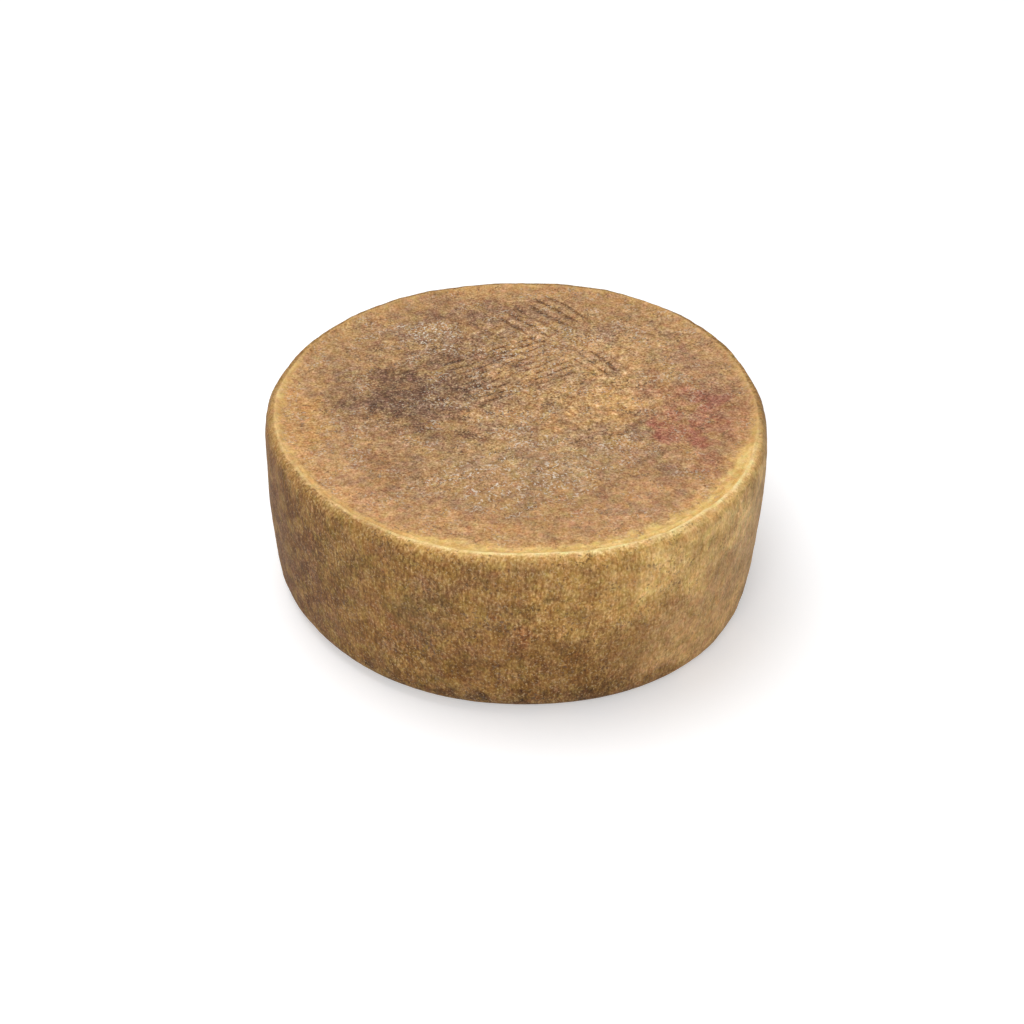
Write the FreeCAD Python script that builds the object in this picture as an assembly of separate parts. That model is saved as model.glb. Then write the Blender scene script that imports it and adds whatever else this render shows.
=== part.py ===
"""A whole small wheel of alpine cheese, one solid, in millimetres.

+Z is up. The origin is on the table plane, at the middle of the base. +X is to the right of
someone who looks along +Y. The wheel was pressed in a hoop: its side is a shallow arc, widest
above the middle, with a long soft shoulder and a foot rounded by its own weight. The follower
that closed the hoop left a crisp raised lip round the top face, and its ribbed mat left furrows
in that face.
"""
import FreeCAD, Part
import math
import os

# Driving sizes of the wheel.
WHEEL_DIAMETER = 279.5    # across the belly, the mean of all directions
WHEEL_HEIGHT = 104.0      # from the table to the crest of the lip
BELLY_HEIGHT = 83.0       # where the side is widest
FOOT_DRAW_IN = 6.1        # how far the side's arc comes in from the belly to the table plane
FOOT_RADIUS = 12.0        # the rounding between side and base
SHOULDER_DROP = 12.0      # how far below the crest the shoulder begins
SHOULDER_IN = 3.3         # how far the shoulder comes in on its way up
CREST_RADIUS = 1.8        # the rounding between shoulder and crest
LEAN_X = 2.0              # how far the top sits off the base, to the right

# The hoop was never quite round: (number of lobes, rise of each lobe, direction of one in degrees).
LOBES = ((2, 2.1, 113.5), (3, 1.5, 56.0), (4, 0.8, 51.0), (5, 0.3, 40.0), (6, 0.3, 4.0))

# The lip that the follower left round the top face.
LIP_HEIGHT = 1.1          # crest of the lip above the top face
CREST_WIDTH = 1.6         # flat of the crest, on average
LIP_SLOPE = 4.0           # width of the lip's inner slope
CREST_WAVER = ((5, 0.35, 20.0), (9, 0.25, 75.0), (14, 0.15, 10.0))   # as LOBES, in the crest's width

# Nicks that handling left across the lip: (direction in degrees, depth, width).
NICKS = (
    (202.0, 1.1, 4.6), (229.0, 0.5, 3.6), (283.0, 0.6, 5.0), (321.0, 0.5, 3.6),
    (34.0, 0.6, 4.2), (96.0, 0.6, 4.8), (149.0, 0.7, 4.2),
)
NICK_LENGTH = 15.0        # of each nick, across the lip

# Patches of furrows pressed into the top face by the mat. Each patch has its centre, the
# direction its furrows run, how many there are and how far apart, and their length and depth.
MAT_PATCHES = (
    {"x": -3.0, "y": 42.0, "turn": 32.0, "count": 9, "pitch": 5.6, "length": 74.0, "depth": 0.55},
    {"x": 16.0, "y": 97.0, "turn": -46.0, "count": 6, "pitch": 7.4, "length": 44.0, "depth": 0.70},
    {"x": 45.0, "y": 47.0, "turn": -56.0, "count": 3, "pitch": 6.6, "length": 30.0, "depth": 0.55},
    {"x": 2.0, "y": -66.0, "turn": 32.0, "count": 7, "pitch": 8.8, "length": 68.0, "depth": 0.45},
)
FURROW_WIDTH = 3.4        # across a furrow at its middle
PATCH_STAGGER = 0.10      # share of its length by which every second furrow is shifted

RING_POINTS = 48          # points that carry each closed outline
WALL_RINGS = 5            # outlines from the table plane to the shoulder, and again from there up


def waver(angle, terms):
    """The sum of the lobes in terms, in the direction angle."""
    return sum(rise * math.cos(count * (angle - math.radians(facing))) for count, rise, facing in terms)


def side_radius(height):
    """Mean radius of the side at a height: a shallow arc about the belly, then the shoulder."""
    share = (BELLY_HEIGHT - height) / BELLY_HEIGHT
    climb = max(0.0, 1 - (WHEEL_HEIGHT - height) / SHOULDER_DROP)
    return WHEEL_DIAMETER / 2 - FOOT_DRAW_IN * share ** 2 - SHOULDER_IN * climb ** 3


def outline(height, draw_in=0.0, terms=()):
    """The closed wire round the wheel at a height, drawn in from the side, with its own waver."""
    points = []
    for step in range(RING_POINTS):
        angle = 2 * math.pi * step / RING_POINTS
        radius = side_radius(height) + waver(angle, LOBES) - draw_in - waver(angle, terms)
        across = radius * math.cos(angle) + LEAN_X * height / WHEEL_HEIGHT
        points.append(FreeCAD.Vector(across, radius * math.sin(angle), height))
    curve = Part.BSplineCurve()
    curve.interpolate(points, PeriodicFlag=True)
    return Part.Wire([curve.toShape()])


def skin(low, high):
    """The solid loft of the side between two heights."""
    heights = [low + (high - low) * step / (WALL_RINGS - 1) for step in range(WALL_RINGS)]
    return Part.makeLoft([outline(height) for height in heights], True)


def flat_edges(solid, height):
    """The edges of a solid that lie at one height."""
    return [edge for edge in solid.Edges
            if abs(edge.BoundBox.ZMin - height) < 0.01 and abs(edge.BoundBox.ZMax - height) < 0.01]


def pressed_body():
    """The hoop's form with its foot and the outer edge of its crest rounded."""
    shoulder = WHEEL_HEIGHT - SHOULDER_DROP
    body = skin(0.0, shoulder).fuse(skin(shoulder, WHEEL_HEIGHT))
    body = body.makeFillet(FOOT_RADIUS, flat_edges(body, 0.0))
    return body.makeFillet(CREST_RADIUS, flat_edges(body, WHEEL_HEIGHT))


def follower_dish():
    """What the follower pressed down inside the lip: a shallow pan with a sloping, wavering wall."""
    top_face = WHEEL_HEIGHT - LIP_HEIGHT
    crest = CREST_RADIUS + CREST_WIDTH
    foot = outline(top_face, crest + LIP_SLOPE, CREST_WAVER)
    brim = outline(WHEEL_HEIGHT, crest, CREST_WAVER)
    above = outline(WHEEL_HEIGHT + LIP_HEIGHT, crest - LIP_SLOPE, CREST_WAVER)
    return Part.makeLoft([foot, brim, above], True)


def furrow(length, depth, width):
    """The spindle that sinks one furrow: round in section, deepest at its middle, out at both ends."""
    # The chord of a circle of this radius is the furrow's width where the circle dips by depth.
    section = (width ** 2 / 4 + depth ** 2) / (2 * depth)
    rise = section - depth
    half = length / 2
    bow = (half ** 2 + depth ** 2) / (2 * depth)
    reach = math.sqrt(bow ** 2 - (bow - section) ** 2)
    arc = Part.Arc(FreeCAD.Vector(-reach, 0, 0), FreeCAD.Vector(0, section, 0), FreeCAD.Vector(reach, 0, 0))
    face = Part.Face(Part.Wire([arc.toShape(), Part.makeLine(arc.EndPoint, arc.StartPoint)]))
    spindle = face.revolve(FreeCAD.Vector(0, 0, 0), FreeCAD.Vector(1, 0, 0), 360)
    spindle.translate(FreeCAD.Vector(0, 0, rise))
    return spindle


def mat_furrows():
    """All the spindles of all the patches, in place on the top face."""
    top_face = WHEEL_HEIGHT - LIP_HEIGHT
    tools = []
    for patch in MAT_PATCHES:
        for index in range(patch["count"]):
            from_middle = index - (patch["count"] - 1) / 2
            # Furrows shorten towards the ends of a patch, as the mat pressed less there.
            fade = 1 - 0.35 * abs(from_middle) / (patch["count"] / 2)
            tool = furrow(patch["length"] * fade, patch["depth"] * fade, FURROW_WIDTH)
            shift = patch["length"] * PATCH_STAGGER * (-1) ** index / 2
            tool.translate(FreeCAD.Vector(shift, from_middle * patch["pitch"], 0))
            tool.rotate(FreeCAD.Vector(0, 0, 0), FreeCAD.Vector(0, 0, 1), patch["turn"])
            tool.translate(FreeCAD.Vector(patch["x"], patch["y"], top_face))
            tools.append(tool)
    return tools


def lip_nicks():
    """The spindles of the nicks, each laid across the middle of the crest."""
    tools = []
    for direction, depth, width in NICKS:
        brim = side_radius(WHEEL_HEIGHT) + waver(math.radians(direction), LOBES)
        tool = furrow(NICK_LENGTH, depth, width)
        tool.translate(FreeCAD.Vector(brim - CREST_RADIUS - CREST_WIDTH / 2, 0, 0))
        tool.rotate(FreeCAD.Vector(0, 0, 0), FreeCAD.Vector(0, 0, 1), direction)
        tool.translate(FreeCAD.Vector(LEAN_X, 0, WHEEL_HEIGHT))
        tools.append(tool)
    return tools


def cheese_wheel():
    """The finished wheel."""
    body = pressed_body().cut(follower_dish())
    return body.cut(mat_furrows() + lip_nicks())


def main():
    os.makedirs("parts", exist_ok=True)
    wheel = cheese_wheel()
    solid = wheel.Solids[0]
    print("solids", len(wheel.Solids), "faces", len(solid.Faces), "volume cm3", round(solid.Volume / 1000, 1))
    solid.exportStep("parts/cheese_wheel.step")


main()
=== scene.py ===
"""The looks of a whole small wheel of alpine cheese with a natural, cloth-pressed rind.

The rind is one closed piece. It starts as a plain drum, takes the pressed form of the frame's wheel, and
then gets what pressing and months on a shelf leave: a crisp lip, a ribbed mat's imprint, creases, a granular
skin with the cloth's faint threads, and patches of mould and smear.

The mesh, the lamps and the camera are in metres. The tables, and the functions that read places, are
in millimetres. A direction is in degrees, 0 at the right and 90 at the back. A colour is 0 to 255, as seen.
"""
import bpy
import bmesh
import functools
import math
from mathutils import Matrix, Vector, noise


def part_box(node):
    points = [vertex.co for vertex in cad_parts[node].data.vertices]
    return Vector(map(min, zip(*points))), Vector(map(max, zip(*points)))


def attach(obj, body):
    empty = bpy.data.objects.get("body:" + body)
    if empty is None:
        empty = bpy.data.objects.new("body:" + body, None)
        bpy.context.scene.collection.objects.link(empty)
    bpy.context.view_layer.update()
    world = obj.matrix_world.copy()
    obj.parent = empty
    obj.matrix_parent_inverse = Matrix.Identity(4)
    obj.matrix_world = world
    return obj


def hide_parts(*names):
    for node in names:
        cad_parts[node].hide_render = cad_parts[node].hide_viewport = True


NOISE_SEED = 7               # without one, noise_vector starts from the clock

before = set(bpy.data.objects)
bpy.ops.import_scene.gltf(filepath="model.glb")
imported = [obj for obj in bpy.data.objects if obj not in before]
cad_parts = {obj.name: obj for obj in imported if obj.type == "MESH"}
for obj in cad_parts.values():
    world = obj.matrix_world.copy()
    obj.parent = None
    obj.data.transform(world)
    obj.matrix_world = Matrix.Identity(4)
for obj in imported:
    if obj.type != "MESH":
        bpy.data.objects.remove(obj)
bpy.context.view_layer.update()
noise.seed_set(NOISE_SEED)

MM = 0.001
LOW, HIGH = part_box("cheese_wheel")
HEIGHT = HIGH[2]
DRUM_RADIUS = (HIGH[0] - LOW[0] + HIGH[1] - LOW[1]) / 4
RADIUS_MM = DRUM_RADIUS / MM
DISH_DEPTH = 3               # the dished top face lies less than this below the crest, in millimetres

# The drum's mesh.
COLUMNS = 720                # round the wheel; a multiple of four, for the grid of the top face
SIDE_ROWS = 50
SHOULDER = 4.5 * MM
SHOULDER_ROWS = 8
FOOT = 12 * MM
FOOT_ROWS = 10
RIM_RINGS = ((0.45 * MM, 10), (0.8 * MM, 6), (1.2 * MM, 4))    # (width, count), inwards from the shoulder
BASE_RINGS = (4 * MM, 30 * MM, 40 * MM)

# The furrows of the ribbed mat, where the frame's wheel has them. The share is how much their ribs rise.
MAT_PATCHES = (
    {"x": -3.0, "y": 42.0, "turn": 32.0, "count": 9, "pitch": 5.6, "length": 74.0, "share": 1.0},
    {"x": 16.0, "y": 97.0, "turn": -46.0, "count": 6, "pitch": 7.4, "length": 44.0, "share": 1.0},
    {"x": 45.0, "y": 47.0, "turn": -56.0, "count": 3, "pitch": 6.6, "length": 30.0, "share": 1.0},
    {"x": 2.0, "y": -66.0, "turn": 32.0, "count": 7, "pitch": 8.8, "length": 68.0, "share": 0.45},
)

# Small dents in the lip, beside the nicks that the frame's wheel has: direction, width, depth.
DENTS = (
    (214, 2.0, 0.4), (239, 2.2, 0.4), (258, 2.6, 0.45), (271, 1.8, 0.3), (304, 2.0, 0.4), (334, 2.2, 0.4),
    (352, 2.6, 0.6), (12, 2.4, 0.5), (64, 2.2, 0.5), (81, 1.8, 0.4), (127, 2.4, 0.5), (176, 2.4, 0.6),
)
DEEPEST_DENT = 0.6
# Creases in the top face: two ends, depth.
CREASES = (
    ((-30, -8), (-26, -50), 0.35), ((-19, -20), (-17, -58), 0.35), ((8, -22), (26, -34), 0.25),
    ((-60, 60), (-46, 88), 0.3), ((64, 8), (88, 16), 0.25), ((52, -2), (70, -22), 0.3),
)
# Soft lumps in the rind: size, rise, the part of the rind that has them, and the way they rise.
LUMPS = (
    (36, 0.60, "top", "Z"), (26, 0.50, "wall", "NORMAL"), (8, 0.22, "skin", "NORMAL"),
    (3.4, 0.14, "skin", "NORMAL"), (19, 0.40, "lip", "NORMAL"), (6, 0.22, "lip", "NORMAL"),
)
RIB_RISE = 0.55              # the mat's ribs above the top face
RIDGE_RISE = 0.60            # the thin ridge on the lip's crest
# Where the lip is folded double: start, end, and the fade past both. A groove parts it from a second ridge.
DOUBLE_LIP = ((204, 246, 8), (300, 336, 10))
GROOVE_DEPTH = 0.50
SECOND_RIDGE_RISE = 0.55


# ---------------------------------------------------------------- modelling by hand

def only(piece):
    """Makes the piece the one selected and active object."""
    bpy.ops.object.select_all(action="DESELECT")
    piece.select_set(True)
    bpy.context.view_layer.objects.active = piece


def choose(piece, kind, test):
    """In edit mode, selects just the edges or the faces that pass the test."""
    bpy.ops.mesh.select_all(action="DESELECT")
    bpy.ops.mesh.select_mode(type=kind)
    mesh = bmesh.from_edit_mesh(piece.data)
    items = mesh.edges if kind == "EDGE" else mesh.faces
    for item in items:
        item.select = bool(test(item))
    mesh.select_flush_mode()
    bmesh.update_edit_mesh(piece.data)


def lies_at(edge, height):
    return all(abs(corner.co.z - height) < 0.01 * MM for corner in edge.verts)


def drum():
    """A drum with rounded foot and shoulder, rows up its side, and a top face of rings round a grid."""
    bpy.ops.object.select_all(action="DESELECT")
    bpy.ops.mesh.primitive_cylinder_add(vertices=COLUMNS, radius=DRUM_RADIUS, depth=HEIGHT,
                                        location=(0, 0, HEIGHT / 2))
    piece = bpy.context.active_object
    piece.name = "natural_rind"
    bpy.ops.object.transform_apply(location=True, rotation=True, scale=True)
    bpy.ops.object.mode_set(mode="EDIT")
    choose(piece, "EDGE", lambda edge: lies_at(edge, HEIGHT))
    bpy.ops.mesh.bevel(offset=SHOULDER, segments=SHOULDER_ROWS, affect="EDGES")
    choose(piece, "EDGE", lambda edge: lies_at(edge, 0))
    bpy.ops.mesh.bevel(offset=FOOT, segments=FOOT_ROWS, affect="EDGES")
    choose(piece, "EDGE", lambda edge: abs(edge.verts[0].co.z - edge.verts[1].co.z) > HEIGHT / 2)
    bpy.ops.mesh.subdivide(number_cuts=SIDE_ROWS - 1)
    choose(piece, "FACE", lambda face: len(face.verts) == COLUMNS and face.normal.z > 0.9)
    for width, count in RIM_RINGS:
        for _ in range(count):
            bpy.ops.mesh.inset(thickness=width)
    bpy.ops.mesh.delete(type="ONLY_FACE")
    choose(piece, "EDGE", lambda edge: edge.is_boundary)
    bpy.ops.mesh.fill_grid(span=COLUMNS // 4)
    bpy.ops.mesh.vertices_smooth(factor=0.5, repeat=40)
    choose(piece, "FACE", lambda face: len(face.verts) == COLUMNS)
    for width in BASE_RINGS:
        bpy.ops.mesh.inset(thickness=width)
    bpy.ops.mesh.poke()
    bpy.ops.mesh.select_all(action="SELECT")
    bpy.ops.mesh.normals_make_consistent(inside=False)
    bpy.ops.object.mode_set(mode="OBJECT")
    return piece


def add_modifier(piece, kind, **settings):
    """Adds a modifier, sets it and applies it."""
    only(piece)
    modifier = piece.modifiers.new(kind.lower(), kind)
    for setting, value in settings.items():
        setattr(modifier, setting, value)
    bpy.ops.object.modifier_apply(modifier=modifier.name)


def weigh(piece, name, shares):
    """A vertex group with a share for every vertex."""
    group = piece.vertex_groups.new(name=name)
    for index, share in enumerate(shares):
        if share > 0:
            group.add([index], min(share, 1.0), "REPLACE")
    return name


def mark(piece, name, values):
    """A number on every vertex, for the finish to read."""
    piece.data.attributes.new(name, "FLOAT", "POINT").data.foreach_set("value", values)


def lumps(piece, size, rise, group, way):
    """Raises and sinks a group of vertices by soft random lumps of that size."""
    pattern = bpy.data.textures.new(f"lumps {size} mm", "CLOUDS")
    pattern.noise_scale = size * MM
    pattern.noise_depth = 1
    add_modifier(piece, "DISPLACE", texture=pattern, texture_coords="LOCAL", strength=2 * rise * MM,
                 mid_level=0.5, direction=way, vertex_group=group)


def raise_by(piece, name, shares, rise):
    """Raises every vertex by its share of the rise, or sinks it where the rise is negative."""
    group = weigh(piece, name, shares)
    add_modifier(piece, "DISPLACE", strength=rise * MM, mid_level=0.0, direction="Z", vertex_group=group)


# ---------------------------------------------------------------- places on the wheel

def smooth(value, start, end):
    """0 at start, 1 at end, with a soft step between."""
    share = min(max((value - start) / (end - start), 0.0), 1.0)
    return share * share * (3 - 2 * share)


def bell(value, width):
    """1 at zero, falling softly to 0 at the width on both sides."""
    return 1 - smooth(abs(value), 0, width)


def plateau(value, start, end, edge):
    """1 between start and end, falling softly to 0 over the edge on both sides."""
    return smooth(value, start - edge, start) * (1 - smooth(value, end, end + edge))


def wobble(place, size, seed):
    """Soft noise from -1 to 1 with lumps of about that many millimetres."""
    return noise.noise(Vector((place.x / size, place.y / size, place.z / size + seed)))


def direction(place):
    """The direction of a place from the wheel's middle, 0 to 360 degrees."""
    return math.degrees(math.atan2(place.y, place.x)) % 360


def crest_line(places):
    """Radius in millimetres of the lip's crest in every direction, read from the pressed form."""
    found = [[] for _ in range(COLUMNS)]
    for place in places:
        if place.z > HEIGHT / MM - 0.1:
            found[int(direction(place) / 360 * COLUMNS) % COLUMNS].append(math.hypot(place.x, place.y))
    known = [sum(radii) / len(radii) if radii else None for radii in found]
    reach = 6
    line = []
    for column in range(COLUMNS):
        near = [known[(column + step) % COLUMNS] for step in range(-reach, reach + 1)]
        near = [radius for radius in near if radius]
        line.append(sum(near) / len(near))
    return line


def inward(place, crest):
    """How far a place lies inside the lip's crest, in millimetres; down the side it is negative."""
    step = direction(place) / 360 * COLUMNS
    column = int(step) % COLUMNS
    share = step - int(step)
    radius = crest[column] * (1 - share) + crest[(column + 1) % COLUMNS] * share
    inside = radius - math.hypot(place.x, place.y)
    below = HEIGHT / MM - place.z
    if inside > 0 and below < DISH_DEPTH:
        return inside
    return -math.hypot(inside, below)


def band_reach(place):
    """Width in millimetres of the lip's yellow band: broad in front, a thread at the back."""
    towards = direction(place)
    broad = plateau(towards, 252, 336, 14)
    middling = plateau(towards, 176, 345, 26)
    return 2.0 + 2.2 * middling + 4.4 * broad + 1.1 * wobble(place, 17, 5.0)


def furrow_share(place):
    """1 in the middle of a furrow of the mat, -1 on the rib between two, 0 away from the mat's imprint."""
    total = 0.0
    if place.z < HEIGHT / MM - 4:
        return total
    for patch in MAT_PATCHES:
        turn = math.radians(patch["turn"])
        across_x, across_y = place.x - patch["x"], place.y - patch["y"]
        along = across_x * math.cos(turn) + across_y * math.sin(turn)
        across = -across_x * math.sin(turn) + across_y * math.cos(turn)
        half_width = patch["count"] * patch["pitch"] / 2
        inside = ((1 - smooth(abs(across), half_width - 2, half_width + 3))
                  * (1 - smooth(abs(along), patch["length"] * 0.3, patch["length"] * 0.56)))
        if inside <= 0:
            continue
        bend = 0.3 * wobble(place, 17, 3.0)
        phase = across / patch["pitch"] + (0.5 if patch["count"] % 2 == 0 else 0.0) + bend
        worn = 0.95 + 0.5 * wobble(place, 15, 9.0)
        total += patch["share"] * inside * max(0.15, worn) * math.cos(2 * math.pi * phase)
    return max(-1.0, min(1.0, total))


def crease_depth(place):
    """How deep the creases run at a place of the top face, in millimetres."""
    deepest = 0.0
    for (x0, y0), (x1, y1), depth in CREASES:
        length = math.hypot(x1 - x0, y1 - y0)
        along = ((place.x - x0) * (x1 - x0) + (place.y - y0) * (y1 - y0)) / length
        bend = 1.6 * wobble(place, 12, 2.0)
        across = ((place.x - x0) * (y1 - y0) - (place.y - y0) * (x1 - x0)) / length + bend
        deepest = max(deepest, depth * plateau(along, 4, length - 4, 6) * bell(across, 2.6))
    return deepest


def dent_depth(place, inside):
    """How deep the dents go at a place of the lip, in millimetres."""
    deepest = 0.0
    around = direction(place)
    for towards, width, depth in DENTS:
        apart = math.radians((around - towards + 180) % 360 - 180) * RADIUS_MM
        if abs(apart) < width:
            deepest = max(deepest, depth * bell(apart + 0.5 * inside, width) * bell(inside - 0.4, 3.2))
    return deepest


# ---------------------------------------------------------------- the rind's colours

@functools.lru_cache(maxsize=None)
def tint(colour):
    """A colour as it is seen, 0 to 255, in linear numbers."""
    def linear(part):
        part /= 255
        return part / 12.92 if part <= 0.04045 else ((part + 0.055) / 1.055) ** 2.4
    return tuple(linear(part) for part in colour) + (1.0,)


# The bare rind wanders between two colours.
TOP_BASE = ((168, 130, 90), (184, 145, 102))
SIDE_BASE = ((144, 108, 60), (162, 124, 70))
# Patches of colour on the top face: x, y, radius along, radius across, turn, colour, strength.
TOP_PATCHES = (
    (-64, 13, 42, 40, 12, (106, 74, 55), 0.9),          # damp brown field on the left
    (-32, 56, 34, 34, 10, (120, 88, 64), 0.8),          # its arm towards the back
    (-26, 100, 48, 16, 6, (128, 95, 73), 0.85),         # brown band behind the mat's imprint
    (30, 14, 42, 34, 20, (178, 138, 90), 0.75),         # ochre field
    (52, 3, 27, 21, 0, (216, 170, 110), 0.85),          # its bright right half
    (8, -46, 58, 26, 4, (180, 149, 110), 0.8),          # straw field before the middle
    (-46, -22, 28, 15, -10, (112, 81, 59), 0.8),
    (62, -26, 20, 16, 0, (146, 112, 84), 0.65),         # grey-brown cloud
    (98, 0, 32, 38, 12, (172, 114, 88), 0.8),           # flush of red smear at the right
    (-116, -18, 13, 48, 10, (200, 153, 95), 0.85),      # orange along the left rim
    (-84, -78, 40, 22, -42, (202, 156, 112), 0.85),     # and along the front
    (-20, -112, 60, 15, 2, (200, 154, 104), 0.85),
    (66, -90, 42, 22, 36, (202, 156, 112), 0.85),
    (106, -76, 26, 14, 50, (212, 164, 114), 0.7),
    (-72, -58, 24, 15, -30, (154, 112, 72), 0.75),
    (-100, -54, 20, 14, -40, (196, 156, 112), 0.6),
    (62, 48, 28, 26, 0, (206, 166, 114), 0.8),          # dry tan at the back right
    (108, 55, 20, 36, 20, (176, 138, 108), 0.75),
    (100, -46, 17, 13, 0, (208, 164, 124), 0.5),
    (84, 82, 26, 16, -50, (184, 144, 108), 0.7),
    (-96, 60, 24, 34, -30, (166, 130, 92), 0.6),
    (-58, 80, 20, 17, 0, (142, 114, 90), 0.7),          # grey mould
    (20, 92, 28, 18, -40, (156, 118, 84), 0.75),        # under the back imprint of the mat
    (46, 84, 18, 13, -40, (172, 134, 98), 0.6),
)
# Stains over the mottling of the top face, in the same order: a brown one, then those of red smear.
TOP_STAINS = (
    (-52, 14, 54, 24, 4, (106, 78, 62), 0.48),
    (107, 15, 17, 13, 30, (146, 90, 78), 0.6),
    (84, -21, 11, 7, 10, (150, 80, 70), 0.65),
    (92, -30, 17, 10, 0, (162, 88, 82), 0.5),
    (105, -57, 15, 9, -20, (150, 90, 70), 0.55),
    (71, -51, 16, 9, 10, (156, 106, 84), 0.3),
    (118, -10, 13, 22, 10, (160, 104, 84), 0.5),
    (101, -38, 5, 4, 0, (120, 66, 60), 0.4),
    (32, -95, 4, 3, 0, (178, 102, 60), 0.4),
)
# Patches on the side: direction, height, radius around, radius up, colour, strength. Some hold painted shade
# at the foot, and the front right is lighter and the left darker partly as painted light and shade.
SIDE_PATCHES = (
    (322, 58, 80, 62, (208, 172, 124), 0.9),            # dry tan field at the front right, lighter partly as painted light
    (290, 82, 60, 34, (198, 158, 94), 0.8),
    (312, 88, 52, 22, (250, 214, 146), 0.8),            # golden fields below the lip, lighter at the front right partly as painted light
    (336, 92, 44, 26, (252, 218, 158), 0.9),
    (206, 50, 66, 70, (105, 67, 26), 0.9),              # dark brown field at the left, partly painted shade
    (262, 26, 100, 30, (114, 76, 25), 0.78),            # painted shade: darker brown towards the foot
    (260, 2, 110, 15, (58, 34, 8), 0.8),                # painted shade at the foot, darkest by the board
    (230, 76, 28, 20, (122, 94, 42), 0.7),              # olive cloud
    (250, 66, 24, 18, (124, 98, 60), 0.75),             # grey mould
    (240, 54, 10, 26, (144, 104, 54), 0.6),
    # lighter fields at the front right, partly painted light
    (297, 60, 15, 12, (210, 170, 110), 0.6),
    (340, 60, 36, 36, (214, 180, 140), 0.7),
    (320, 24, 60, 20, (234, 194, 138), 0.7),
    (216, 60, 16, 14, (116, 80, 50), 0.6),
    (12, 58, 90, 60, (184, 148, 100), 0.75),            # from here on, the right and the back
    (75, 62, 60, 46, (170, 132, 79), 0.7),
    (125, 45, 60, 40, (140, 106, 63), 0.8),
    (165, 66, 46, 30, (156, 120, 69), 0.6),
)
# Stains over the mottling of the side, in the same order.
SIDE_STAINS = (
    (242, 50, 10, 9, (134, 84, 55), 0.5),
    (270, 58, 9, 10, (138, 84, 53), 0.6),
    (266, 50, 18, 7, (142, 98, 63), 0.5),
    (279, 80, 4, 4, (104, 78, 33), 0.7),
    (271, 72, 4, 5, (112, 88, 31), 0.6),
    (209, 46, 8, 12, (104, 70, 45), 0.55),
    (196, 40, 12, 9, (110, 76, 49), 0.5),
    (52, 70, 12, 10, (132, 84, 55), 0.5),
    (140, 58, 14, 9, (130, 82, 55), 0.5),
)
SIDE_WARMTH = (1.0, 0.975, 0.88, 1.0)    # makes all the side's colours a little more golden
# Mottling all over: size, where on the noise it starts and is full, colour, strength.
TOP_MOTTLE = (
    (15, 0.0, 0.32, (148, 112, 86), 0.45),
    (11, 0.04, 0.32, (194, 152, 98), 0.45),
    (9, 0.10, 0.36, (150, 122, 98), 0.45),
    (7, 0.10, 0.36, (176, 146, 92), 0.40),
)
SIDE_MOTTLE = (
    (15, 0.0, 0.32, (132, 100, 65), 0.45),
    (11, 0.04, 0.32, (180, 144, 85), 0.45),
    (9, 0.10, 0.36, (140, 112, 51), 0.45),
    (7, 0.10, 0.36, (150, 110, 77), 0.40),
)
# White and grey mould dust on the top face: x, y, radius along, radius across, turn, strength.
MOULD_DUST = (
    (-56, 82, 17, 13, 20, 0.75), (-52, 70, 12, 9, 0, 0.5), (-70, -20, 4, 3, 0, 1.0),
    (-66, 62, 4, 3, 0, 0.9), (-26, -72, 22, 5, 32, 0.8), (-10, -86, 22, 5, 32, 0.7),
    (48, -63, 16, 4, 32, 0.9), (20, -60, 30, 22, 32, 0.35), (-2, -22, 14, 6, 0, 0.5),
    (-96, -38, 20, 12, 0, 0.3), (10, 60, 40, 30, 32, 0.2), (58, -40, 18, 14, 0, 0.3),
)
# The field of the top face with the strongest grain: x, y, radius along, radius across, turn.
PRESSED_FIELD = (5, 30, 115, 100, 0)

# The lip: thin and dull at the back, broad and bright in front.
LIP_WARMTH = (212, 166, 110)             # a warm fade on the top face inside the lip
LIP_GOLD = ((212, 172, 102), (234, 198, 134))      # outside it: low on the shoulder, and by the crest
LIP_YELLOW = ((212, 172, 112), (236, 202, 126))    # the band itself: at the back, and in front
PALE_STREAK = (247, 219, 148)
DARK_STREAK = (196, 154, 84)
LIP_CREST = (252, 234, 174)


def blend(under, over, share):
    return tuple(below + (above - below) * share for below, above in zip(under, over))


def shaken(place):
    """A place moved about by noise, so that no patch of colour has a drawn edge."""
    moved = place.copy()
    for size, far in ((18, 16), (9, 8), (5, 5), (2.8, 3)):
        moved += far * noise.noise_vector(place / size)
    return moved


def on_top(moved, x, y, along, across, turn):
    """1 inside an ellipse on the top face, fading to 0 outside it."""
    turn = math.radians(turn)
    right, away = moved.x - x, moved.y - y
    reach = math.hypot((right * math.cos(turn) + away * math.sin(turn)) / along,
                       (away * math.cos(turn) - right * math.sin(turn)) / across)
    return 1 - smooth(reach, 0.35, 1.25)


def on_side(moved, towards, height, around, up):
    """1 inside an ellipse on the side, fading to 0 outside it."""
    apart = math.radians((direction(moved) - towards + 180) % 360 - 180) * RADIUS_MM
    return 1 - smooth(math.hypot(apart / around, (moved.z - height) / up), 0.35, 1.25)


def roughness(place, inside, band):
    """How strongly the grain shows: most where the mat pressed, little on the lip's band."""
    if inside < 0:
        towards = direction(place)
        share = 0.58 + 0.27 * plateau(towards, 225, 285, 35) + 0.12 * plateau(towards, 20, 160, 30)
        return share * (1 + 0.3 * wobble(place, 25, 60.0)) * (1 - 0.5 * band)
    pressed = on_top(place, *PRESSED_FIELD)
    return (0.73 + 0.43 * pressed + 0.2 * wobble(place, 22, 60.0)) * (1 - 0.65 * band)


def overlaid(colour, patches, shape, moved):
    """The colour with patches over it, each as strong as it says, where its shape covers the place."""
    for *where, over, strength in patches:
        colour = blend(colour, tint(over), strength * shape(moved, *where))
    return colour


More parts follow.
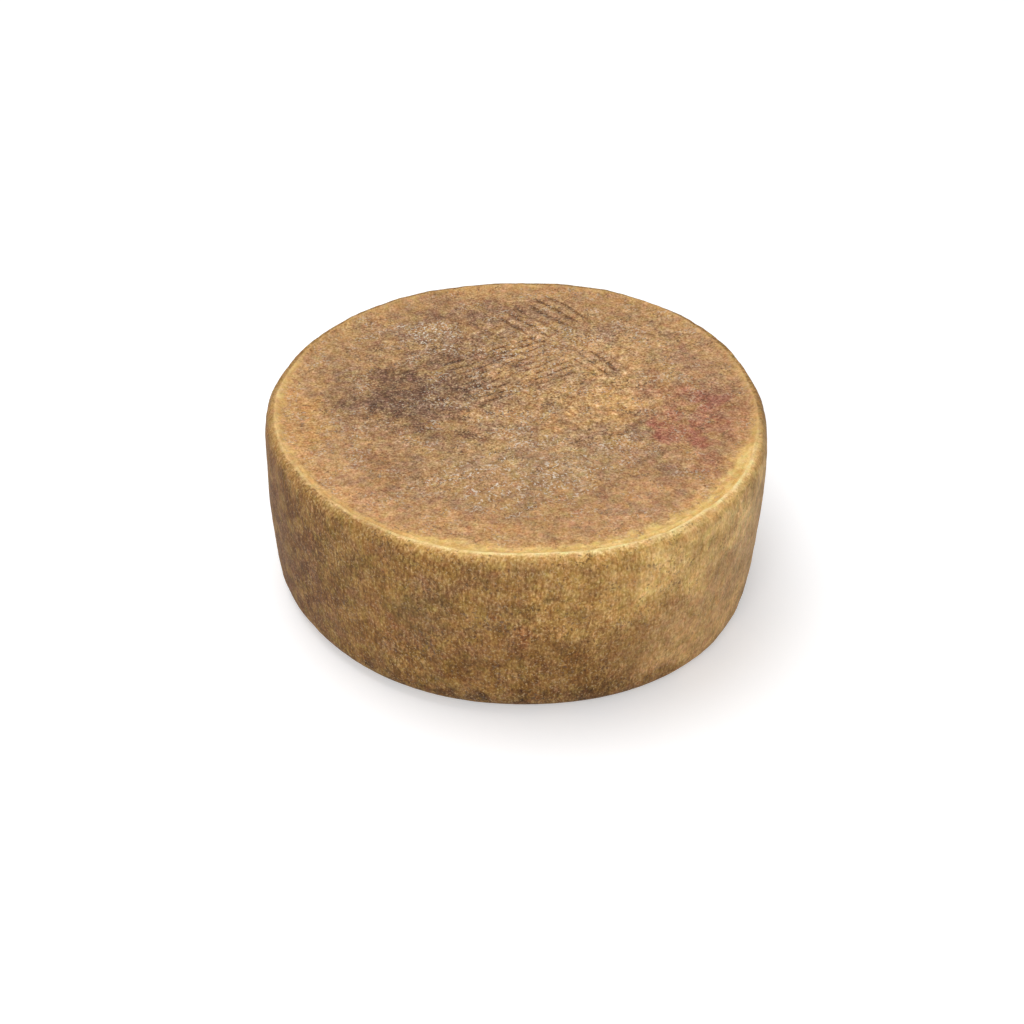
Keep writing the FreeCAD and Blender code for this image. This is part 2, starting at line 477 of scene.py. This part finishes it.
def mottled(colour, layers, place, calm):
    """The colour with clouds of every layer over it."""
    for number, (size, start, full, over, strength) in enumerate(layers):
        cloudy = wobble(place, size, 20.0 + 7 * number) + 0.5 * wobble(place, size / 2, 50.0 + 7 * number)
        colour = blend(colour, tint(over), calm * strength * smooth(cloudy, start, full))
    return colour


def painted_top(place):
    """The rind's colour at a place of the top face, without the lip's."""
    moved = shaken(place)
    colour = blend(*map(tint, TOP_BASE), 0.5 + 0.5 * wobble(place, 30, 6.0))
    colour = overlaid(colour, TOP_PATCHES, on_top, moved)
    colour = mottled(colour, TOP_MOTTLE, place, 1.0)
    return overlaid(colour, TOP_STAINS, on_top, moved)


def painted_side(place):
    """The rind's colour at a place of the side, with its painted shade and light, without the lip's; the
    right of it is calm.
    """
    moved = shaken(place)
    colour = blend(*map(tint, SIDE_BASE), 0.5 + 0.5 * wobble(place, 30, 6.0))
    colour = overlaid(colour, SIDE_PATCHES, on_side, moved)
    colour = mottled(colour, SIDE_MOTTLE, place, 1 - 0.4 * plateau(direction(place), 292, 350, 25))
    colour = overlaid(colour, SIDE_STAINS, on_side, moved)
    return tuple(part * warmer for part, warmer in zip(colour, SIDE_WARMTH))


def along_lip(place, inside, length, width, seed):
    """Soft noise drawn out along the lip, with lumps of about that length and width."""
    around = math.radians(direction(place))
    radius = RADIUS_MM / length
    return noise.noise(Vector((radius * math.cos(around), radius * math.sin(around), inside / width + seed)))


def lip_band(place, inside, reach):
    """How much of the lip's yellow band lies at a place: 1 by the crest, 0 past its reach."""
    if inside < -0.6:
        return 0.0
    share = (inside / reach + 0.55 * along_lip(place, inside, 6, 4, 11.0)
             + 0.35 * along_lip(place, inside, 2.5, 2.2, 15.0))
    return (1 - smooth(share, 0.45, 1.5)) * (0.4 + 0.5 * smooth(reach, 1.4, 4.0)) * smooth(inside, -0.9, 0.4)


def lip_painted(place, inside, reach, band, colour):
    """Lays the lip's colours over the rind's: gold below the crest, the band inside it, the pale crest."""
    front = smooth(reach, 2.4, 8.0)
    if inside > 0:
        near = 1 - smooth(inside + 5 * wobble(place, 9, 12.0), 7, 22)
        colour = blend(colour, tint(LIP_WARMTH), near * (0.2 + 0.3 * smooth(reach, 1.6, 5.0)))
    gold = smooth(inside, -9.0, -0.5) * (0.1 + 0.78 * front) if inside < 0.6 else 0.0
    colour = blend(colour, blend(*map(tint, LIP_GOLD), smooth(inside, -4, 0)), gold)
    if inside < -3:
        return colour
    ropy = along_lip(place, inside, 12, 2.6, 70.0) + 0.7 * along_lip(place, inside, 4, 1.5, 75.0)
    yellow = blend(*map(tint, LIP_YELLOW), front)
    yellow = blend(yellow, tint(PALE_STREAK), (0.25 + 0.35 * front) * smooth(ropy, -0.05, 0.35))
    yellow = blend(yellow, tint(DARK_STREAK), 0.4 * smooth(-ropy, 0.05, 0.4))
    colour = blend(colour, yellow, band)
    crest = inside + 0.6 * along_lip(place, 0, 8, 1, 33.0)
    crisp = 0.72 + 0.25 * plateau(direction(place), 276, 326, 14)
    line = smooth(crest, -1.2, 0.0) * (1 - smooth(crest, 0.9, 2.0)) * (0.03 + crisp * front)
    line *= 0.45 + 0.55 * smooth(along_lip(place, 0, 7, 1, 44.0), -0.3, 0.2)
    return blend(colour, tint(LIP_CREST), line)


def dusted(place, inside, furrow):
    """How thick white mould dust lies at a place; before the middle it gathers in the furrows."""
    thick = 0.04 + 0.42 * smooth(wobble(place, 13, 31.0) + 0.5 * wobble(place, 6, 37.0), 0.0, 0.45)
    if inside < 0:
        return 0.2 * thick * smooth(-inside, 3, 12)
    if place.y < -30:
        thick += 1.3 * max(0.0, furrow)
    moved = shaken(place)
    for *where, strength in MOULD_DUST:
        thick += strength * on_top(moved, *where)
    return min(thick, 1.0)


# ---------------------------------------------------------------- the pressed form

def lay_paint(piece, places, inside, furrows):
    """Marks every vertex with its colour and with what the finish reads besides."""
    reaches = [band_reach(place) for place in places]
    bands = [lip_band(*where) for where in zip(places, inside, reaches)]
    mark(piece, "inward", inside)
    mark(piece, "furrow", furrows)
    mark(piece, "dust", [dusted(*where) for where in zip(places, inside, furrows)])
    mark(piece, "rough", [roughness(*where) for where in zip(places, inside, bands)])
    colours = []
    for place, depth, reach, band in zip(places, inside, reaches, bands):
        bare = painted_top(place) if depth > 0 else painted_side(place)
        colours.extend(lip_painted(place, depth, reach, band, bare))
    paint = piece.data.attributes.new("paint", "FLOAT_COLOR", "POINT")
    paint.data.foreach_set("color", colours)


def raise_lumps(piece, places, inside):
    """Soft unevenness, each part of the rind with its own: what the press and the shelf left."""
    on_lip = [bell(depth - 1.0, 7) for depth in inside]
    off_base = [smooth(place.z, 1.5, 9) for place in places]
    parts = {
        "top": [smooth(depth, 3, 16) for depth in inside],
        "lip": on_lip,
        "wall": off_base,
        "skin": [high * (1 - 0.6 * near) for high, near in zip(off_base, on_lip)],
    }
    for name, shares in parts.items():
        weigh(piece, name, shares)
    for size, rise, part, way in LUMPS:
        lumps(piece, size, rise, part, way)


def raise_imprints(piece, places, inside, furrows):
    """The mat's ribs, the creases, and the lip's ridge, folds and dents."""
    raise_by(piece, "ribs", [max(0.0, -share) for share in furrows], RIB_RISE)
    raise_by(piece, "creases", [crease_depth(place) for place in places], -1.0)
    where = list(zip(places, inside))
    ridge = [bell(depth - 0.5, 1.1) * (0.6 + 0.8 * wobble(place, 20, 1.0)) for place, depth in where]
    raise_by(piece, "ridge", ridge, RIDGE_RISE)
    double = [sum(plateau(direction(place), *stretch) for stretch in DOUBLE_LIP)
              + 0.5 * smooth(wobble(place, 40, 8.0), 0.0, 0.3) for place in places]
    for name, middle, width, rise in (("groove", 2.3, 1.3, -GROOVE_DEPTH),
                                      ("second ridge", 4.2, 1.6, SECOND_RIDGE_RISE)):
        line = [share * bell(depth - middle - 0.7 * wobble(place, 25, 4.0), width)
                for (place, depth), share in zip(where, double)]
        raise_by(piece, name, line, rise)
    cuts = [dent_depth(place, depth) / DEEPEST_DENT if abs(depth) < 4 else 0.0 for place, depth in where]
    raise_by(piece, "dents", cuts, -DEEPEST_DENT)


def pressed_rind():
    """The drum pressed to the frame's wheel, with all its paint and relief."""
    piece = drum()
    add_modifier(piece, "SHRINKWRAP", target=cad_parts["cheese_wheel"],
                 wrap_method="NEAREST_SURFACEPOINT")
    below_lip = [1 - smooth(vertex.co.z, HEIGHT - 9 * MM, HEIGHT - 5 * MM) for vertex in piece.data.vertices]
    side = weigh(piece, "side", below_lip)
    add_modifier(piece, "SMOOTH", factor=0.5, iterations=30, vertex_group=side)

    places = [vertex.co / MM for vertex in piece.data.vertices]
    crest = crest_line(places)
    inside = [inward(place, crest) for place in places]
    furrows = [furrow_share(place) for place in places]
    lay_paint(piece, places, inside, furrows)
    raise_lumps(piece, places, inside)
    raise_imprints(piece, places, inside, furrows)

    only(piece)
    bpy.ops.object.shade_smooth()
    for group in list(piece.vertex_groups):
        piece.vertex_groups.remove(group)
    return piece


# ---------------------------------------------------------------- finishes

# Sizes in the rind's grain, in millimetres.
GRAIN = 1.25
PEBBLES = 2.9
COARSE = 6.5
THREADS = 1.3
PITS = 1.7
CRUMBS = 1.2
DUST = 1.7
HUES = 4.0
NOISE_SPOT = (211.7, 133.3, 71.9)        # where on the noise the middle of the top face lies
SIDE_STRETCH = 0.62                      # the cloth drew the side's grain upwards
THREAD_STRETCH = 0.12                    # and its threads run nearly upright
GRAIN_SINK = 0.317                       # scales the paint to where a power acts evenly on dark and light
GRAIN_LIFT = (2.90, 2.67, 2.43)          # and scales it back, a little darker and warmer
PIT_BROWN = (84, 56, 34)
CRUMB_CREAM = (226, 196, 150)
DUST_WHITE = (222, 208, 190)
BUMP_DEPTH = 1.1 * MM
TABLE_WHITE = (0.82, 0.82, 0.83, 1)
TABLE_GLOW = 0.34                        # lifts the lit table to white for the camera


class Finish:
    """One material. Each method but node adds a node and returns the socket that carries its result."""

    def __init__(self, name):
        self.material = bpy.data.materials.new(name)
        self.material.use_nodes = True
        self.tree = self.material.node_tree
        self.tree.nodes.clear()

    def node(self, kind, feeds, **settings):
        """Adds a node, sets it and feeds it with sockets or values; returns the node itself."""
        node = self.tree.nodes.new("ShaderNode" + kind)
        for setting, value in settings.items():
            setattr(node, setting, value)
        for socket, value in feeds.items():
            if isinstance(value, bpy.types.NodeSocket):
                self.tree.links.new(value, node.inputs[socket])
            else:
                node.inputs[socket].default_value = value
        return node

    def marked(self, name, output="Fac"):
        """What every vertex of the mesh is marked with under that name."""
        return self.node("Attribute", {}, attribute_name=name).outputs[output]

    def maths(self, operation, first, second=0.0, clamp=False):
        return self.node("Math", {0: first, 1: second}, operation=operation, use_clamp=clamp).outputs[0]

    def vector(self, operation, first, second, third=(0, 0, 0)):
        return self.node("VectorMath", {0: first, 1: second, 2: third}, operation=operation).outputs[0]

    def fade(self, value, start, end, low=0.0, high=1.0):
        """low where value is start, high where it is end, with a soft step between."""
        return self.node("MapRange", {"Value": value, "From Min": start, "From Max": end, "To Min": low,
                                      "To Max": high}, interpolation_type="SMOOTHSTEP").outputs["Result"]

    def spread(self, value, low, high):
        """A noise's middle range stretched to run from low to high."""
        return self.node("MapRange", {"Value": value, "From Min": 0.3, "From Max": 0.7, "To Min": low,
                                      "To Max": high}).outputs["Result"]

    def clouds(self, place, size, detail=2.0, roughness=0.5, output="Fac"):
        """Soft noise with features of about that many millimetres."""
        return self.node("TexNoise", {"Vector": place, "Scale": 1 / size, "Detail": detail,
                                      "Roughness": roughness}).outputs[output]

    def blend(self, share, under, over):
        """Two colours mixed by a share."""
        mix = self.node("Mix", {"Factor": share}, data_type="RGBA")
        for name, colour in (("A", under), ("B", over)):
            socket = next(s for s in mix.inputs if s.name == name and s.type == "RGBA")
            if isinstance(colour, bpy.types.NodeSocket):
                self.tree.links.new(colour, socket)
            else:
                socket.default_value = colour
        return next(s for s in mix.outputs if s.type == "RGBA")

    def finish(self, shader):
        """Ends the material in its shader."""
        self.node("OutputMaterial", {"Surface": shader})
        return self.material


def grained(finish, paint, speckle):
    """The paint raised to a power: deep brown where the speckle is over 1, cream where it is under."""
    colour = finish.vector("MULTIPLY", paint, (GRAIN_SINK,) * 3)
    colour = finish.node("Gamma", {"Color": colour, "Gamma": speckle}).outputs[0]
    return finish.vector("MULTIPLY", colour, GRAIN_LIFT)


def hued(finish, colour, place):
    """The colour with each channel wandering a little by itself."""
    hue = finish.clouds(place, HUES, detail=1.0, output="Color")
    hue = finish.vector("MULTIPLY_ADD", hue, (0.28, 0.28, 0.4), (0.86, 0.86, 0.8))
    return finish.vector("MULTIPLY", colour, hue)


def flecked(finish, colour, place, pits, furrow, rough):
    """The colour with dark pits, cream crumbs and white mould dust in it."""
    colour = finish.blend(finish.maths("MULTIPLY", pits, 0.6), colour, tint(PIT_BROWN))
    # The crumbs read the noise a little lower than the pits do, and the dust a little higher.
    crumbs = finish.clouds(finish.vector("MULTIPLY", place, (1.0, 1.0, 0.99)), CRUMBS, detail=1.0)
    crumbs = finish.maths("MULTIPLY", finish.fade(crumbs, 0.60, 0.70), rough)
    colour = finish.blend(finish.maths("MULTIPLY", crumbs, 0.38), colour, tint(CRUMB_CREAM))
    thick = finish.maths("ADD", finish.marked("dust"), finish.fade(furrow, 0.15, 0.6, 0.0, 0.08), clamp=True)
    dust = finish.clouds(finish.vector("MULTIPLY", place, (1.0, 1.0, 1.01)), DUST, detail=2.0, roughness=0.6)
    dust = finish.maths("MULTIPLY", finish.fade(dust, 0.55, 0.62), thick)
    dust = finish.maths("MULTIPLY", dust, rough, clamp=True)
    return finish.blend(dust, colour, tint(DUST_WHITE))


def rind_finish():
    """Granular natural rind: the mesh's paint with grain, threads, hues, pits, crumbs and dust."""
    finish = Finish("natural rind")
    furrow = finish.marked("furrow")
    rough = finish.marked("rough")
    on_face = finish.fade(finish.marked("inward"), -0.6, 1.4)
    from_top = finish.vector("MULTIPLY_ADD", finish.node("TexCoord", {}).outputs["Object"],
                             (1 / MM,) * 3, (0, 0, -HEIGHT / MM))
    place = finish.vector("ADD", from_top, NOISE_SPOT)

    # Grain: round on the top face, drawn upwards on the side, and the same where they meet at the crest.
    upwards = finish.fade(on_face, 0, 1, SIDE_STRETCH, 1.0)
    stretch = finish.node("CombineXYZ", {0: 1.0, 1: 1.0, 2: upwards}).outputs[0]
    drawn = finish.vector("MULTIPLY_ADD", from_top, stretch, NOISE_SPOT)
    grain = finish.clouds(drawn, GRAIN, detail=2.5, roughness=0.6)
    pebbles = finish.clouds(place, PEBBLES, detail=2.0, roughness=0.6)
    coarse = finish.clouds(place, COARSE, detail=2.0, roughness=0.6)
    upright = finish.vector("MULTIPLY", place, (1, 1, THREAD_STRETCH))
    threads = finish.spread(finish.clouds(upright, THREADS, detail=1.0), 0.10, -0.10)
    threads = finish.maths("MULTIPLY", threads, finish.fade(on_face, 1.0, 0.0))
    blotches = finish.maths("ADD", finish.spread(pebbles, 0.10, -0.10), finish.spread(coarse, 0.11, -0.11))
    blotches = finish.maths("MULTIPLY", blotches, finish.fade(on_face, 0, 1, 0.6, 1.0))
    speckle = finish.maths("ADD", finish.spread(grain, 0.26, -0.26), blotches)
    speckle = finish.maths("MULTIPLY", finish.maths("ADD", speckle, threads), rough)
    # The furrows are darkened as painted shade, and the ribs between them brightened as painted light.
    speckle = finish.maths("ADD", speckle, finish.fade(furrow, 0.2, 0.9, 0.0, 0.45))
    speckle = finish.maths("ADD", speckle, finish.fade(furrow, -0.1, -0.8, 1.0, 0.93))

    pits = finish.fade(finish.clouds(place, PITS, detail=1.0), 0.60, 0.68)
    pits = finish.maths("MULTIPLY", pits, finish.fade(finish.clouds(place, 9), 0.42, 0.60))
    pits = finish.maths("MULTIPLY", pits, rough)
    colour = hued(finish, grained(finish, finish.marked("paint", "Color"), speckle), place)
    colour = flecked(finish, colour, place, pits, furrow, rough)

    height = finish.maths("ADD", finish.maths("MULTIPLY", coarse, 0.4), finish.maths("MULTIPLY", grain, 0.5))
    height = finish.maths("ADD", height, finish.maths("MULTIPLY", pebbles, 0.6))
    height = finish.maths("SUBTRACT", height, finish.maths("MULTIPLY", pits, 0.35))
    bump = finish.node("Bump", {"Strength": 1.0, "Distance": BUMP_DEPTH, "Height": height}).outputs[0]
    skin = finish.node("BsdfPrincipled", {"Base Color": colour, "Roughness": 0.74, "Normal": bump,
                                          "Specular IOR Level": 0.3})
    return finish.finish(skin.outputs[0])


def floor_finish():
    """A white table that keeps the shadow and reads as white to the camera."""
    finish = Finish("white table")
    seen = finish.node("LightPath", {}).outputs
    direct = finish.maths("ADD", seen["Is Camera Ray"], seen["Is Glossy Ray"], clamp=True)
    matt = finish.node("BsdfDiffuse", {"Color": TABLE_WHITE}).outputs[0]
    strength = finish.maths("MULTIPLY", direct, TABLE_GLOW)
    glow = finish.node("Emission", {"Color": (1, 1, 1, 1), "Strength": strength}).outputs[0]
    return finish.finish(finish.node("AddShader", {0: matt, 1: glow}).outputs[0])


# ---------------------------------------------------------------- the studio

AIR_LIGHT = 0.45
PALE_SKY = (0.8, 0.8, 0.8, 1)
# Name, place, size and power.
LAMPS = (
    ("overhead softbox", (-0.3, 0.26, 1.45), 1.2, 13.0),
    ("front fill", (-0.2, -1.42, 0.9), 0.8, 8.2),
)
MIDDLE = Vector((0, 0, HEIGHT / 2))
# The camera looks down at the wheel's front.
ELEVATION = 35.12
DISTANCE = 1.287
LENS_MM = 80.6
SENSOR_MM = 36
AIM_DOWN = 0.665             # degrees below the wheel's middle
AIM_LEFT = 0.107             # degrees to the left of it


def lay_table():
    """The white table that the wheel stands on."""
    bpy.ops.object.select_all(action="DESELECT")
    bpy.ops.mesh.primitive_plane_add(size=30, location=(0, 0, 0))
    table = bpy.context.active_object
    table.name = "white_table"
    table.data.materials.append(floor_finish())


def fill_air():
    """A sky all round: soft light for the wheel, and a pale grey for the camera."""
    world = bpy.data.worlds.new("studio air")
    world.use_nodes = True
    tree = world.node_tree
    tree.nodes.clear()
    path = tree.nodes.new("ShaderNodeLightPath")
    air = tree.nodes.new("ShaderNodeBackground")
    air.inputs["Color"].default_value = (1, 1, 1, 1)
    air.inputs["Strength"].default_value = AIR_LIGHT
    seen = tree.nodes.new("ShaderNodeBackground")
    seen.inputs["Color"].default_value = PALE_SKY
    seen.inputs["Strength"].default_value = 1.0
    mix = tree.nodes.new("ShaderNodeMixShader")
    output = tree.nodes.new("ShaderNodeOutputWorld")
    tree.links.new(path.outputs["Is Camera Ray"], mix.inputs[0])
    tree.links.new(air.outputs[0], mix.inputs[1])
    tree.links.new(seen.outputs[0], mix.inputs[2])
    tree.links.new(mix.outputs[0], output.inputs[0])
    bpy.context.scene.world = world


def hang_lamp(name, place, size, power):
    """A round soft lamp that faces the wheel."""
    light = bpy.data.lights.new(name, "AREA")
    light.shape = "DISK"
    light.size = size
    light.energy = power
    lamp = bpy.data.objects.new(name, light)
    bpy.context.scene.collection.objects.link(lamp)
    lamp.location = place
    lamp.rotation_euler = (MIDDLE - lamp.location).to_track_quat("-Z", "Y").to_euler()


def stand_camera():
    """The camera in front of the wheel, looking down at it."""
    rise = math.radians(ELEVATION)
    camera_data = bpy.data.cameras.new("camera")
    camera_data.lens = LENS_MM
    camera_data.sensor_width = SENSOR_MM
    camera = bpy.data.objects.new("camera", camera_data)
    bpy.context.scene.collection.objects.link(camera)
    camera.location = MIDDLE + DISTANCE * Vector((0, -math.cos(rise), math.sin(rise)))
    camera.rotation_euler = (math.radians(90 - ELEVATION - AIM_DOWN), 0, math.radians(AIM_LEFT))
    bpy.context.scene.camera = camera


# ---------------------------------------------------------------- the wheel in its place

rind = pressed_rind()
rind.data.materials.clear()
rind.data.materials.append(rind_finish())
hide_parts("cheese_wheel")
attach(rind, "root")

lay_table()
fill_air()
for lamp_sizes in LAMPS:
    hang_lamp(*lamp_sizes)
stand_camera()
bpy.context.scene.view_settings.view_transform = "Standard"
